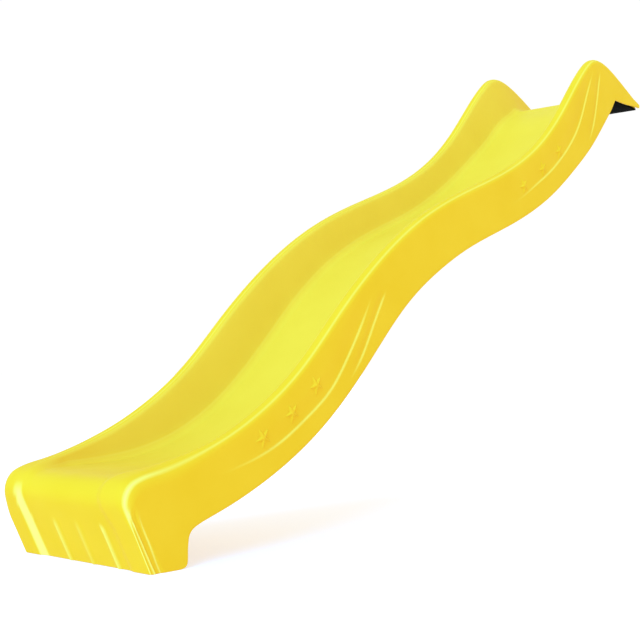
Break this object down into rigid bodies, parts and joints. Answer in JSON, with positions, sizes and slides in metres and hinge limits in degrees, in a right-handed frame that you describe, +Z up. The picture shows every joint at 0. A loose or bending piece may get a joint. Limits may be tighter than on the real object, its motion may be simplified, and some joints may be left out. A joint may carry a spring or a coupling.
{
  "type": "wave slide",
  "caption": "One-piece moulded playground wave slide with rounded rails, raised ears, a rolled exit foot and a lip that rests on a platform deck.",
  "frame": {"origin": "centre of the bounding box's bottom face, on the ground", "axes": "+X along the slide from the exit to the platform, +Y across it to the rider's right, +Z up"},
  "size_m": [2.65, 0.465, 1.629],
  "materials": {
    "yellow_plastic": "moulded polyethylene, satin gloss",
    "black_rubber": "matt ribbed",
    "stainless_steel": "plain",
    "galvanised_steel": "hot-dip galvanised",
    "brass": "machined"
  },
  "bodies": {
    "slide": {"slide_body": "yellow_plastic", "lip_pad": "black_rubber", "lip_screws": "stainless_steel", "lip_washers": "stainless_steel", "cap_bases": "yellow_plastic", "cap_hinge_pins": "stainless_steel", "ground_brackets": "galvanised_steel", "foot_inserts": "brass", "bracket_washers": "stainless_steel", "bracket_screws": "stainless_steel"},
    "left_lid": {"cap_lid_left": "yellow_plastic"},
    "right_lid": {"cap_lid_right": "yellow_plastic"}
  },
  "joints": [
    {"name": "left_lid_hinge", "type": "hinge", "parent": "slide", "child": "left_lid", "pos_m": [1.2347, -0.12, 1.51815], "axis": [0, 1, 0], "range_deg": [0, 150]},
    {"name": "right_lid_hinge", "type": "hinge", "parent": "slide", "child": "right_lid", "pos_m": [1.2347, 0.12, 1.51815], "axis": [0, 1, 0], "range_deg": [0, 150]}
  ]
}
